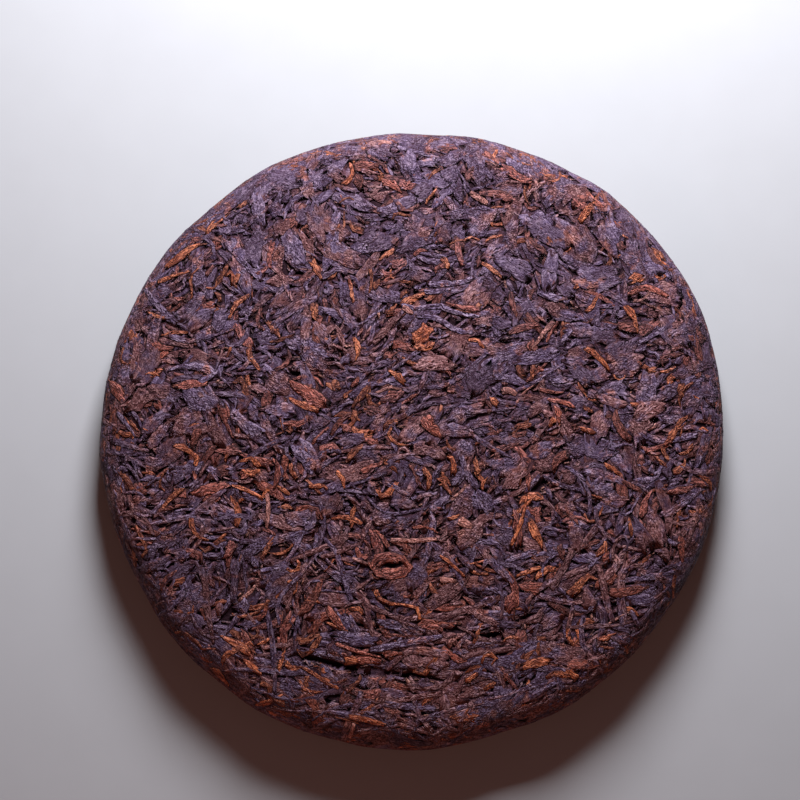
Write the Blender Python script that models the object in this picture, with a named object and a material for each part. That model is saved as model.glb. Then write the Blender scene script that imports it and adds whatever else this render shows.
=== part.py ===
"""Pressed cake of ripe tea: a domed disc with a rounded edge, lying on its back.

The shown face is up. The back is flat, with the dimple that the knot of the pressing cloth leaves.
Metres, +Z up, with the origin on the table under the middle of the cake.
Run it with: blender --background --python part.py
"""

import math

import bmesh
import bpy
from mathutils import Vector, noise

# Driving dimensions
CAKE_RADIUS = 0.100
CAKE_HEIGHT = 0.024
FACE_RADIUS = 0.085  # where the domed face turns over into the edge
FACE_DROP = 0.0045  # how far the face falls from its middle to there
WIDEST_HEIGHT = 0.0088  # height of the widest part of the edge
FOOT_RADIUS = 0.084  # outer radius of the flat ring that the cake rests on
DIMPLE_RADIUS = 0.026
DIMPLE_DEPTH = 0.011

# The face and the edge
FACE_CURVE = 2.2  # power of the dome: the middle is flatter than the border
EDGE_CURVE = 2.1  # 2 makes the edge elliptical, and more makes it squarer

# The dimple's soft pleats, which point to its middle
PLEAT_COUNT = 9
PLEAT_DEPTH = 0.0005
PLEAT_RADIUS = 0.017
PLEAT_REACH = 0.006

# Uneven pressing: waves round the outline, as (waves, height in metres, place of a crest in degrees),
OUTLINE_WAVES = (
    (2, 0.0009, 27),
    (3, 0.0006, 33),
    (5, 0.0002, 32),
)
# and lumps of leaf over the face and the edge, as (span, height)
LUMPS = (
    (0.024, 0.0009),
    (0.011, 0.0006),
)
FLAT_LIMIT = 0.0005  # the lumps fade in from this height above the table
LUMP_LIMIT = 0.0040  # to this one

# Splits in the pressed leaf, as (name, start, bend, end, width, depth). The points are plan places on the face.
SPLITS = (
    ("lower_crease", (-0.0356, -0.0684), (-0.0160, -0.0730), (0.0060, -0.0752), 0.0017, 0.0030),
    ("lower_cross_crack", (-0.0301, -0.0850), (-0.0240, -0.0800), (-0.0165, -0.0736), 0.0013, 0.0024),
    ("upper_edge_split", (0.0430, 0.0885), (0.0535, 0.0822), (0.0580, 0.0745), 0.0012, 0.0026),
    ("upper_face_split", (0.0526, 0.0647), (0.0580, 0.0622), (0.0648, 0.0615), 0.0011, 0.0018),
    ("right_edge_split", (0.0842, 0.0312), (0.0885, 0.0285), (0.0912, 0.0239), 0.0012, 0.0020),
    ("right_face_split", (0.0615, 0.0235), (0.0660, 0.0215), (0.0715, 0.0195), 0.0012, 0.0018),
    ("lower_edge_split", (0.0240, -0.0925), (0.0360, -0.0905), (0.0475, -0.0868), 0.0013, 0.0026),
)
SPLIT_STATIONS = 9
SPLIT_OVERREACH = 0.0015  # how far a cutter stands above the face
SPLIT_FLOOR = 0.25  # width of a split's bottom as a share of its mouth
SPLIT_TIP = 0.15  # width and depth of a split's ends as a share of its middle
SLOPE_STEP = 0.0002  # distance over which the face's slope is taken

# Mesh density
SEGMENTS = 108
FACE_STEP = 0.006
EDGE_STEPS = 6
UNDERCUT_STEPS = 4
FOOT_STEPS = 3
DIMPLE_STEPS = 6

TEA_COLOUR = (0.070, 0.042, 0.046, 1.0)
TEA_ROUGHNESS = 0.62


def face_height(radius):
    """Height of the shown face and the upper edge at this radius, before the uneven pressing."""
    border_height = CAKE_HEIGHT - FACE_DROP
    if radius <= FACE_RADIUS:
        return CAKE_HEIGHT - FACE_DROP * (radius / FACE_RADIUS) ** FACE_CURVE
    share = min((radius - FACE_RADIUS) / (CAKE_RADIUS - FACE_RADIUS), 1.0)
    fall = (1 - share**EDGE_CURVE) ** (1 / EDGE_CURVE)
    return WIDEST_HEIGHT + (border_height - WIDEST_HEIGHT) * fall


def dimple_height(radius):
    """Height of the dimple's roof above the table."""
    return DIMPLE_DEPTH * (0.5 + 0.5 * math.cos(math.pi * radius / DIMPLE_RADIUS))


def meridian():
    """The cake's outline from the middle of the face, over the edge, to the middle of the back."""
    rings = round(FACE_RADIUS / FACE_STEP)
    points = [(FACE_RADIUS * i / rings, face_height(FACE_RADIUS * i / rings)) for i in range(rings + 1)]
    for i in range(1, EDGE_STEPS + 1):
        turn = 0.5 * math.pi * i / EDGE_STEPS
        radius = FACE_RADIUS + (CAKE_RADIUS - FACE_RADIUS) * math.sin(turn) ** (2 / EDGE_CURVE)
        points.append((radius, face_height(radius)))
    for i in range(1, UNDERCUT_STEPS + 1):
        turn = 0.5 * math.pi * i / UNDERCUT_STEPS
        radius = FOOT_RADIUS + (CAKE_RADIUS - FOOT_RADIUS) * math.cos(turn)
        points.append((radius, WIDEST_HEIGHT * (1 - math.sin(turn))))
    for i in range(1, FOOT_STEPS + 1):
        points.append((FOOT_RADIUS + (DIMPLE_RADIUS - FOOT_RADIUS) * i / FOOT_STEPS, 0.0))
    for i in range(1, DIMPLE_STEPS + 1):
        radius = DIMPLE_RADIUS * (1 - i / DIMPLE_STEPS)
        points.append((radius, dimple_height(radius)))
    return points


def outline_swell(angle):
    """How much further out than CAKE_RADIUS the outline lies in this direction, as a share of it."""
    wave = 0.0
    for count, height, crest in OUTLINE_WAVES:
        wave += height * math.cos(count * (angle - math.radians(crest)))
    return wave / CAKE_RADIUS


def lump(point):
    """How far the lumps of leaf push the surface out here."""
    fade = max(0.0, min((point.z - FLAT_LIMIT) / (LUMP_LIMIT - FLAT_LIMIT), 1.0))
    return fade * sum(height * noise.noise(point / span) for span, height in LUMPS)


def dimple_pleat(radius, angle):
    """Depth of the folds that the gathered cloth presses into the dimple's wall."""
    nearness = math.exp(-(((radius - PLEAT_RADIUS) / PLEAT_REACH) ** 2))
    fade = min((DIMPLE_RADIUS - radius) / PLEAT_REACH, 1.0)
    return PLEAT_DEPTH * nearness * fade * math.cos(PLEAT_COUNT * angle)


def pressed(point, outward):
    """A point of the even disc, moved to where the uneven pressing leaves it."""
    radius = math.hypot(point.x, point.y)
    angle = math.atan2(point.y, point.x)
    if radius < DIMPLE_RADIUS and outward.z < 0:
        return point - Vector((0, 0, dimple_pleat(radius, angle)))
    moved = point + outward * lump(point)
    swell = 1 + outline_swell(angle) * min(radius / CAKE_RADIUS, 1.0)
    return Vector((moved.x * swell, moved.y * swell, moved.z))


def disc_mesh():
    """The whole cake, spun from its meridian and then pressed uneven."""
    bm = bmesh.new()
    verts = [bm.verts.new((radius, 0, height)) for radius, height in meridian()]
    edges = [bm.edges.new(pair) for pair in zip(verts, verts[1:])]
    bmesh.ops.spin(
        bm,
        geom=verts + edges,
        cent=(0, 0, 0),
        axis=(0, 0, 1),
        angle=2 * math.pi,
        steps=SEGMENTS,
        use_merge=True,
    )
    bmesh.ops.remove_doubles(bm, verts=bm.verts, dist=1e-6)
    bmesh.ops.recalc_face_normals(bm, faces=bm.faces)
    bm.normal_update()
    places = [pressed(vert.co, vert.normal) for vert in bm.verts]
    for vert, place in zip(bm.verts, places):
        vert.co = place
    mesh = bpy.data.meshes.new("tea_cake")
    bm.to_mesh(mesh)
    bm.free()
    return mesh


def centre_outline(obj):
    """Slides the mesh so that the middle of its bounding box is over the origin."""
    places = [vert.co for vert in obj.data.vertices]
    middle_x = 0.5 * (min(p.x for p in places) + max(p.x for p in places))
    middle_y = 0.5 * (min(p.y for p in places) + max(p.y for p in places))
    for vert in obj.data.vertices:
        vert.co -= Vector((middle_x, middle_y, 0))
    return middle_x, middle_y


def on_face(x, y):
    """The face's point over this plan place, and the direction that points straight out of it there."""
    angle = math.atan2(y, x)
    radius = min(math.hypot(x, y), CAKE_RADIUS - 2 * SLOPE_STEP)
    slope = (face_height(radius + SLOPE_STEP) - face_height(radius - SLOPE_STEP)) / (2 * SLOPE_STEP)
    outward = Vector((-slope * math.cos(angle), -slope * math.sin(angle), 1)).normalized()
    point = Vector((x, y, face_height(radius)))
    return point + outward * lump(point), outward


def split_cutter(name, start, bend, end, width, depth):
    """A curved wedge that opens one split: wide at the face, narrow at its floor, and closing at both ends."""
    start, bend, end = Vector(start), Vector(bend), Vector(end)
    via = 2 * bend - 0.5 * (start + end)  # the curve's control point, so that it passes through bend
    bm = bmesh.new()
    loops = []
    for i in range(SPLIT_STATIONS):
        t = i / (SPLIT_STATIONS - 1)
        place = (1 - t) ** 2 * start + 2 * t * (1 - t) * via + t**2 * end
        heading = (1 - t) * (via - start) + t * (end - via)
        point, outward = on_face(place.x, place.y)
        across = outward.cross(Vector((heading.x, heading.y, 0))).normalized()
        open_share = SPLIT_TIP + (1 - SPLIT_TIP) * math.sin(math.pi * t) ** 0.7
        half, deep = 0.5 * width * open_share, depth * open_share
        top, floor = point + outward * SPLIT_OVERREACH, point - outward * deep
        corners = (top + across * half, top - across * half)
        corners += (floor - across * half * SPLIT_FLOOR, floor + across * half * SPLIT_FLOOR)
        loops.append([bm.verts.new(corner) for corner in corners])
    for near, far in zip(loops, loops[1:]):
        for k in range(4):
            bm.faces.new((near[k], near[k - 1], far[k - 1], far[k]))
    bm.faces.new(loops[0])
    bm.faces.new(loops[-1][::-1])
    bmesh.ops.recalc_face_normals(bm, faces=bm.faces)
    mesh = bpy.data.meshes.new(name)
    bm.to_mesh(mesh)
    bm.free()
    return helper(name, mesh)


def helper(name, mesh):
    """A cutter: it shapes the cake and is no part of it."""
    obj = bpy.data.objects.new(name, mesh)
    bpy.context.scene.collection.objects.link(obj)
    obj.hide_render = True
    obj.display_type = "WIRE"
    return obj


def tea_material():
    """Dark, matt pressed leaf."""
    material = bpy.data.materials.new("pressed_tea")
    material.use_nodes = True
    shader = material.node_tree.nodes["Principled BSDF"]
    shader.inputs["Base Color"].default_value = TEA_COLOUR
    shader.inputs["Roughness"].default_value = TEA_ROUGHNESS
    shader.inputs["Metallic"].default_value = 0.0
    return material


def build_cake():
    """The cake's one solid, with its splits cut into it."""
    cake = bpy.data.objects.new("tea_cake", disc_mesh())
    bpy.context.scene.collection.objects.link(cake)
    cake.data.materials.append(tea_material())
    cake.data.shade_smooth()
    shift_x, shift_y = centre_outline(cake)
    for split in SPLITS:
        cutter = split_cutter(*split)
        cutter.location = (-shift_x, -shift_y, 0)
        cut = cake.modifiers.new(cutter.name, "BOOLEAN")
        cut.operation = "DIFFERENCE"
        cut.solver = "EXACT"
        cut.object = cutter


def main():
    for obj in list(bpy.data.objects):
        bpy.data.objects.remove(obj)
    build_cake()


main()
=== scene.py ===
"""Looks of a pressed cake of ripe tea: leaves laid one over another on a smaller core, and pressed flat.

The press works in mm on two charts, the cake's face and its back, each unrolled from its middle out
and round the edge. A leaf is picked where the cake is still lowest, lies over what is there, and is
squeezed against the skin of the solid that the frame gives. The finished pieces are in metres.
"""

import math

import bmesh
import bpy
import numpy as np
from bpy.props import FloatProperty, FloatVectorProperty, IntProperty, PointerProperty
from bpy.types import Operator, Panel, PropertyGroup
from mathutils import Matrix, Vector, noise
from mathutils.bvhtree import BVHTree


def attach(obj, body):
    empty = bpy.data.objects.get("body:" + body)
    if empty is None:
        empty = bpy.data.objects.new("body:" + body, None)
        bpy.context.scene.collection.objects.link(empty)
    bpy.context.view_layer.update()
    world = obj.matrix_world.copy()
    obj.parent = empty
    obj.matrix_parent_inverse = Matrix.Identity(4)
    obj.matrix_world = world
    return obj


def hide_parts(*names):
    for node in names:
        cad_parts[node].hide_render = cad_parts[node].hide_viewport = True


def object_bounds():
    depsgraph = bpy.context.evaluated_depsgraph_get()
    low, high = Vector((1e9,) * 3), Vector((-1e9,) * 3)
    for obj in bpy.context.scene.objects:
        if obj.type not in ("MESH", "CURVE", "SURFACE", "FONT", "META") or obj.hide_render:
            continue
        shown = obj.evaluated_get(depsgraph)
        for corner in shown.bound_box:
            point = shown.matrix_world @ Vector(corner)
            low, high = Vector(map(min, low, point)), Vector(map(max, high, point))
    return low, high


bl_info = {
    "name": "Pressed tea cake",
    "version": (1, 0, 0),
    "blender": (4, 5, 0),
    "location": "3D View > Sidebar > Tea cake",
    "description": "Lays tea leaves over a cake's solid and presses them flat",
    "category": "Object",
}

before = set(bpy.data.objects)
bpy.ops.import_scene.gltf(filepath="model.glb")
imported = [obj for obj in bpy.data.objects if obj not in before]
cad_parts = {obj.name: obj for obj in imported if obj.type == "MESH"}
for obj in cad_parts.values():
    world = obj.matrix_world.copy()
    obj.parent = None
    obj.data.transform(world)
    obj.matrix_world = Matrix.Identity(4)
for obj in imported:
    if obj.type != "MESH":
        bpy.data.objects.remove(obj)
SOLID_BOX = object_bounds()

NODE = "tea_cake"
MM = 0.001
FACE, BACK = 1, -1

# The charts. Lengths are in mm, and the edge's round starts at the ring.
CAKE_RADIUS = 0.5 * (SOLID_BOX[1][0] - SOLID_BOX[0][0]) / MM
CAKE_HEIGHT = (SOLID_BOX[1][2] - SOLID_BOX[0][2]) / MM
RING = 0.85 * CAKE_RADIUS
RING_HEIGHT = 0.36 * CAKE_HEIGHT
ROUND = 0.125 * CAKE_RADIUS  # mean radius of the edge's round
RIM = RING + 0.5 * math.pi * ROUND  # where the two charts meet, at the widest part of the edge
CHART_REACH = RIM + 18.0
CELL = 0.4
CAST_FROM = 40.0
SPLIT_LEAST = 0.6  # a dip this much under the skin is a split


# ---------------------------------------------------------------------------------------------------
# Settings
# ---------------------------------------------------------------------------------------------------


def leaf_props(count, length, width, thickness, crease, cool, warm, worn):
    """The settings that every kind of leaf has. Sizes are given in mm, as (least, most)."""

    def span(name, description, sizes):
        in_metres = [size * MM for size in sizes]
        return FloatVectorProperty(
            name=name, description=description, size=2, default=in_metres, min=0, unit="LENGTH", precision=5
        )

    def colour(name, description, value):
        return FloatVectorProperty(
            name=name, description=description, size=3, default=value, min=0, max=1, subtype="COLOR"
        )

    return {
        "count": IntProperty(name="Count", description="How many are laid on the cake", default=count, min=0),
        "length": span("Length", "Shortest and longest", length),
        "width": span("Width", "Narrowest and widest", width),
        "thickness": span("Thickness", "Thinnest and thickest", thickness),
        # The first colour is painted shade: dark colour laid in the creases, round each leaf's edge and where leaves
        # lie low among their neighbours.
        "crease": colour("Crease", "Colour in the creases and round the edges", crease),
        "cool": colour("Cool", "Colour of the ripest leaves", cool),
        "warm": colour("Warm", "Colour of the least ripe leaves", warm),
        # The last colour is partly real wear and partly painted highlight, laid on the ridges and on what stands proud.
        "worn": colour("Worn", "Colour of the palest and of what stands proud", worn),
    }


class BroadLeafSettings(PropertyGroup):
    """Broad leaves, pressed flat"""

    __annotations__ = leaf_props(
        2800, (6, 17), (3, 7.5), (0.18, 0.34),
        (0.026, 0.002, 0.004), (0.076, 0.0485, 0.093), (0.148, 0.047, 0.040), (0.300, 0.205, 0.190),
    )


class TwistedLeafSettings(PropertyGroup):
    """Dark leaves, rolled and twisted into strips"""

    __annotations__ = leaf_props(
        2150, (8, 24), (1.2, 2.9), (0.26, 0.50),
        (0.026, 0.002, 0.004), (0.076, 0.0485, 0.093), (0.148, 0.047, 0.040), (0.300, 0.205, 0.190),
    )


class CurledLeafSettings(PropertyGroup):
    """Small dark leaves, curled into thin strips"""

    __annotations__ = leaf_props(
        2700, (4, 12), (0.8, 2.1), (0.22, 0.42),
        (0.026, 0.002, 0.004), (0.076, 0.0485, 0.093), (0.148, 0.047, 0.040), (0.300, 0.205, 0.190),
    )


class RussetLeafSettings(PropertyGroup):
    """Red-brown leaves and the less ripe parts of dark ones"""

    __annotations__ = leaf_props(
        1300, (4, 12), (1.3, 4.0), (0.20, 0.42),
        (0.010, 0.002, 0.002), (0.110, 0.034, 0.036), (0.240, 0.052, 0.028), (0.370, 0.142, 0.094),
    )


class GoldenBudSettings(PropertyGroup):
    """Orange and golden buds"""

    __annotations__ = leaf_props(
        1000, (3.5, 11), (0.9, 2.5), (0.22, 0.42),
        (0.020, 0.002, 0.002), (0.135, 0.034, 0.022), (0.300, 0.062, 0.020), (0.520, 0.205, 0.090),
    )


class ShardSettings(PropertyGroup):
    """Broken pieces of dark leaf"""

    __annotations__ = leaf_props(
        4300, (2, 6.5), (1.0, 4.0), (0.14, 0.30),
        (0.026, 0.002, 0.004), (0.076, 0.0485, 0.093), (0.148, 0.047, 0.040), (0.300, 0.205, 0.190),
    )


class StalkSettings(PropertyGroup):
    """Thin stalks"""

    __annotations__ = leaf_props(
        70, (5, 13), (0.8, 1.6), (0.35, 0.60),
        (0.014, 0.004, 0.004), (0.130, 0.045, 0.042), (0.280, 0.090, 0.060), (0.540, 0.280, 0.215),
    )


class CrumbSettings(PropertyGroup):
    """Crumbs in the gaps"""

    __annotations__ = leaf_props(
        2600, (0.8, 2.4), (0.5, 1.4), (0.14, 0.34),
        (0.008, 0.003, 0.003), (0.090, 0.046, 0.062), (0.220, 0.078, 0.048), (0.460, 0.240, 0.180),
    )


class CakeSettings(PropertyGroup):
    """How the leaves lie on the cake"""

    seed: IntProperty(name="Seed", description="Another seed lays the leaves another way", default=7)
    core_depth: FloatProperty(
        name="Core depth", description="How far the core lies under the skin", default=0.85 * MM, unit="LENGTH"
    )
    squeeze: FloatProperty(
        name="Squeeze",
        description="Depth under the skin at which the press starts to flatten the leaves",
        default=0.36 * MM,
        unit="LENGTH",
    )
    tries: IntProperty(name="Tries", description="Places that are compared for each leaf", default=5, min=1)
    broad_leaves: PointerProperty(type=BroadLeafSettings)
    twisted_leaves: PointerProperty(type=TwistedLeafSettings)
    curled_leaves: PointerProperty(type=CurledLeafSettings)
    russet_leaves: PointerProperty(type=RussetLeafSettings)
    golden_buds: PointerProperty(type=GoldenBudSettings)
    shards: PointerProperty(type=ShardSettings)
    stalks: PointerProperty(type=StalkSettings)
    crumbs: PointerProperty(type=CrumbSettings)


class StageSettings(PropertyGroup):
    """Camera and light"""

    camera_distance: FloatProperty(
        name="Camera distance", description="From the cake's face", default=0.75, unit="LENGTH", subtype="DISTANCE"
    )
    view_width: FloatProperty(
        name="View width", description="Width of the picture at the cake", default=0.2533, unit="LENGTH"
    )
    key_power: FloatProperty(name="Key light", description="Power of the low light over the top", default=7.4)
    key_colour: FloatVectorProperty(
        name="Key colour", description="Colour of that light", default=(0.80, 0.845, 1.0), subtype="COLOR"
    )
    fill_power: FloatProperty(name="Fill light", description="Power of the light from below", default=1.2)
    fill_colour: FloatVectorProperty(
        name="Fill colour", description="Colour of that light", default=(1.0, 0.40, 0.30), subtype="COLOR"
    )
    sky: FloatProperty(name="Room light", description="Strength of the even light", default=0.05)


# ---------------------------------------------------------------------------------------------------
# Charts
# ---------------------------------------------------------------------------------------------------


def solid_tree():
    """The solid's faces, in mm, for casting rays at them."""
    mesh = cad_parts[NODE].data
    return BVHTree.FromPolygons([v.co / MM for v in mesh.vertices], [p.vertices for p in mesh.polygons])


def shifted(grid, rows, columns):
    return np.roll(np.roll(grid, rows, axis=0), columns, axis=1)


def soften(grid, reach, passes=2):
    """Averages a grid over a square of 2 * reach + 1 cells."""
    for _ in range(passes):
        for axis in (0, 1):
            grid = sum(np.roll(grid, k, axis=axis) for k in range(-reach, reach + 1)) / (2 * reach + 1)
    return grid


class Chart:
    """One side of the cake, unrolled flat, as a grid of cells in mm.

    A place (u, v) is counted from the side's middle. Out to the ring it is a plan place, and from there
    on it runs round the edge. Heights stand over the solid's skin, with its splits bridged.
    """

    def __init__(self, tree, side):
        self.side = side
        self.half = int(CHART_REACH / CELL) + 2
        axis = np.arange(-self.half, self.half + 1) * CELL
        u, v = np.meshgrid(axis, axis, indexing="ij")
        self.axis_u, self.axis_v = u, v
        self.reach = np.hypot(u, v)
        self.angle = np.arctan2(v, u)
        turn = np.clip((self.reach - RING) / ROUND, 0, math.pi)
        heading = np.stack([np.cos(self.angle), side * np.sin(self.angle)], axis=-1)
        flat_reach = np.minimum(self.reach, RING)[..., None]
        foot = np.concatenate([heading * flat_reach, np.full((*u.shape, 1), RING_HEIGHT)], axis=-1)
        way = np.concatenate([heading * np.sin(turn)[..., None], side * np.cos(turn)[..., None]], axis=-1)
        raw = self.cast(tree, foot, way)
        shifts = [(i, j) for i in range(-6, 7, 3) for j in range(-6, 7, 3)]
        bridged = np.median(np.stack([shifted(raw, i, j) for i, j in shifts]), axis=0)
        self.split = np.where(bridged - raw > SPLIT_LEAST, bridged - raw, 0.0)
        self.places = foot + way * soften(bridged, 4)[..., None]
        along_u, along_v = np.gradient(self.places, CELL, axis=(0, 1))
        normals = np.cross(along_u, along_v)
        self.normals = normals / np.maximum(np.linalg.norm(normals, axis=-1, keepdims=True), 1e-9)
        self.height = None
        self.owner = np.full(u.shape, -1)

    def cast(self, tree, foot, way):
        """Distance from the foot to the solid's surface, for every cell that is on the cake."""
        found = np.full(self.reach.shape, 0.0)
        rows, columns = np.nonzero(self.reach <= CHART_REACH)
        starts = (foot + way * CAST_FROM)[rows, columns].tolist()
        ways = (-way)[rows, columns].tolist()
        distances = [tree.ray_cast(start, direction)[3] for start, direction in zip(starts, ways)]
        found[rows, columns] = CAST_FROM - np.array(distances, float)
        # Beyond the chart's reach the nearest ring of cells is carried on.
        inside = np.minimum(self.reach, CHART_REACH - CELL) / np.maximum(self.reach, CELL)
        centre = np.indices(self.reach.shape) - self.half
        near = np.rint(centre * inside).astype(int) + self.half
        return found[near[0], near[1]]

    def open_gap(self, half_width, places):
        """Marks the cells along a line of places as a split."""
        for (u, v), (to_u, to_v) in zip(places, places[1:]):
            length = math.hypot(to_u - u, to_v - v)
            along_u, along_v = (to_u - u) / length, (to_v - v) / length
            off_u, off_v = self.axis_u - u, self.axis_v - v
            short = np.clip(off_u * along_u + off_v * along_v, 0, length)
            away = np.hypot(off_u - short * along_u, off_v - short * along_v)
            self.split = np.where(away < half_width, np.maximum(self.split, GAP_DEPTH), self.split)

    def cells(self, u, v):
        """Flat numbers of the cells that hold these places."""
        last = 2 * self.half
        rows = np.clip(np.rint(u / CELL).astype(int) + self.half, 0, last)
        columns = np.clip(np.rint(v / CELL).astype(int) + self.half, 0, last)
        return rows * (last + 1) + columns

    def sample(self, grid, u, v):
        """A grid's value between its cells."""
        last = 2 * self.half - 1
        row, column = u / CELL + self.half, v / CELL + self.half
        i = np.clip(row.astype(int), 0, last)
        j = np.clip(column.astype(int), 0, last)
        f, g = np.clip(row - i, 0, 1), np.clip(column - j, 0, 1)
        if grid.ndim == 3:
            f, g = f[..., None], g[..., None]
        near = grid[i, j] * (1 - g) + grid[i, j + 1] * g
        far = grid[i + 1, j] * (1 - g) + grid[i + 1, j + 1] * g
        return near * (1 - f) + far * f

    def point(self, u, v, height):
        """Points in mm in the frame's own axes, this high over the skin."""
        return self.sample(self.places, u, v) + self.sample(self.normals, u, v) * height[..., None]


# ---------------------------------------------------------------------------------------------------
# Unit leaves, which are modelled once
# ---------------------------------------------------------------------------------------------------


def deselect_all():
    if bpy.context.object and bpy.context.object.mode != "OBJECT":
        bpy.ops.object.mode_set(mode="OBJECT")
    bpy.ops.object.select_all(action="DESELECT")


def select_in_edit(obj, test):
    """Selects the vertices that pass a test on their place, and nothing else."""
    mesh = bmesh.from_edit_mesh(obj.data)
    mesh.select_mode = {"VERT"}
    for vert in mesh.verts:
        vert.select = test(vert.co)
    mesh.select_flush_mode()
    bmesh.update_edit_mesh(obj.data)


# Cross-sections of the unit leaves, as (across, up), clockwise from the middle of the top. The last step
# down to the edge is short, and carries the painted shade that the finish lays round each leaf's edge.
SECTIONS = {
    "broad": ((0, 1), (0.45, 1), (0.9, 0.9), (1, 0), (0, -0.4), (-1, 0), (-0.9, 0.9), (-0.45, 1)),
    "strip": ((0, 1), (0.76, 0.85), (1, 0), (0, -0.5), (-1, 0), (-0.76, 0.85)),
}
END_STEP = 0.035  # share of the length that slopes down to each end


def outline(t, blunt, tip):
    """Half width of a leaf at t from its stalk to its tip, as a share of its widest."""
    return tip + (1 - tip) * max(math.sin(math.pi * t**0.85), 0.0) ** blunt


class UnitLeaf:
    """A closed leaf one long and one wide, as rows along it and columns across it."""

    def __init__(self, section, steps, blunt, tip):
        self.t = np.concatenate([[0.0], np.linspace(END_STEP, 1 - END_STEP, steps - 1), [1.0]])
        mesh = self.model(SECTIONS[section], blunt, tip).data
        co = np.zeros(len(mesh.vertices) * 3)
        mesh.vertices.foreach_get("co", co)
        x, y, z = co.reshape(-1, 3).T
        self.row = np.abs(y[:, None] - self.t[None]).argmin(axis=1)
        self.outline = np.array([x[self.row == k].max() for k in range(len(self.t))])
        across = (x / self.outline[self.row]).round(3)
        self.s = np.unique(across)
        self.column = np.searchsorted(self.s, across)
        self.under = z < -0.01
        self.profile = np.array([z[(self.column == c) & ~self.under].max() for c in range(len(self.s))])
        self.thick = self.outline**0.5
        self.thick[[0, -1]] *= 0.15
        self.edge = np.maximum(np.abs(self.s)[None] > 0.999, np.isin(self.t, (0, 1))[:, None]).astype(float)
        self.starts = np.array([face.loop_start for face in mesh.polygons])
        self.corners = np.zeros(len(mesh.loops), int)
        mesh.loops.foreach_get("vertex_index", self.corners)
        self.low_corner = np.zeros(len(mesh.loops), bool)
        for face in mesh.polygons:
            self.low_corner[list(face.loop_indices)] = face.normal.z < -0.2
        bpy.data.meshes.remove(mesh)

    def model(self, section, blunt, tip):
        """A tube along +Y, cut into rings, with its section made the leaf's and drawn in towards both ends."""
        deselect_all()
        bpy.ops.mesh.primitive_cylinder_add(
            vertices=len(section), radius=1, depth=1, location=(0, 0.5, 0), rotation=(-0.5 * math.pi, 0, math.pi)
        )
        tube = bpy.context.object
        bpy.ops.object.transform_apply(location=True, rotation=True, scale=True)
        bpy.ops.object.mode_set(mode="EDIT")
        for t in self.t[1:-1]:
            bpy.ops.mesh.select_all(action="SELECT")
            bpy.ops.mesh.bisect(plane_co=(0, t, 0), plane_no=(0, 1, 0))
        mesh = bmesh.from_edit_mesh(tube.data)
        for vert in mesh.verts:
            turn = math.atan2(vert.co.x, vert.co.z) / (2 * math.pi) * len(section)
            vert.co.x, vert.co.z = section[round(turn) % len(section)]
        bmesh.update_edit_mesh(tube.data)
        for t in self.t:
            select_in_edit(tube, lambda co, level=t: abs(co.y - level) < 1e-3)
            bpy.ops.transform.resize(
                value=(outline(t, blunt, tip), 1, 1), center_override=(0, t, 0), orient_type="GLOBAL"
            )
        bpy.ops.mesh.select_all(action="SELECT")
        bpy.ops.mesh.normals_make_consistent(inside=False)
        bpy.ops.object.mode_set(mode="OBJECT")
        return tube


# ---------------------------------------------------------------------------------------------------
# The press
# ---------------------------------------------------------------------------------------------------

# How each kind lies: its unit leaf, its share of bend and of raggedness, the depth of its grooves, how
# stiffly it bridges what is under it, how many places are tried for it, how much it keeps to the broad
# leaves' patches, and when it is laid, from 0 to 1.
HABITS = {
    "broad_leaves": dict(unit="broad", bend=1.1, ragged=0.20, groove=0.34, stiff=0.40, tries=1.0, patch=1.0, laid=(0.0, 1.0)),
    "twisted_leaves": dict(unit="strip", bend=1.9, ragged=0.14, groove=0.34, stiff=0.55, tries=1.0, patch=-1.0, laid=(0.05, 0.95)),
    "curled_leaves": dict(unit="curl", bend=3.6, ragged=0.18, groove=0.30, stiff=0.50, tries=1.0, patch=-0.7, laid=(0.3, 1.0)),
    "russet_leaves": dict(unit="slip", bend=2.4, ragged=0.26, groove=0.26, stiff=0.50, tries=0.6, patch=-0.3, laid=(0.20, 0.98)),
    "golden_buds": dict(unit="slip", bend=3.0, ragged=0.26, groove=0.24, stiff=0.50, tries=0.6, patch=0.0, laid=(0.50, 1.0)),
    "shards": dict(unit="shard", bend=1.0, ragged=0.34, groove=0.24, stiff=0.50, tries=1.4, patch=0.0, laid=(0.30, 1.0)),
    "stalks": dict(unit="strip", bend=0.8, ragged=0.06, groove=0.10, stiff=0.75, tries=0.5, patch=0.0, laid=(0.3, 0.97)),
    "crumbs": dict(unit="crumb", bend=0.5, ragged=0.30, groove=0.16, stiff=0.60, tries=3.0, patch=0.0, laid=(0.6, 1.0)),
}
ROUNDS = 8  # the leaves on both sides of the rim are brought up to date this often
LEVEL_BELOW = 0.65  # and its leaves lie nearly level
LOOSE_BELOW = 0.6  # the lower part of the face is pressed less
LOOSE_RIM = 2.0  # and so is the edge
LOOSE_SHARE = 0.25  # leaves that lie any way at all, and not along their neighbours
PATCHY = 0.10  # mm that a kind's patches are worth against the height of a place
CROSSED_MOST = 0.10  # share of a leaf that may lie over a split
RIM_BAND = 13.0  # leaves this near the rim mostly lie along it
LEAST_STEP = 0.05  # a leaf's top stays this much over what it covers
SEEN_LEAST = 4  # a leaf that shows in fewer cells than this is buried, and left out


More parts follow.
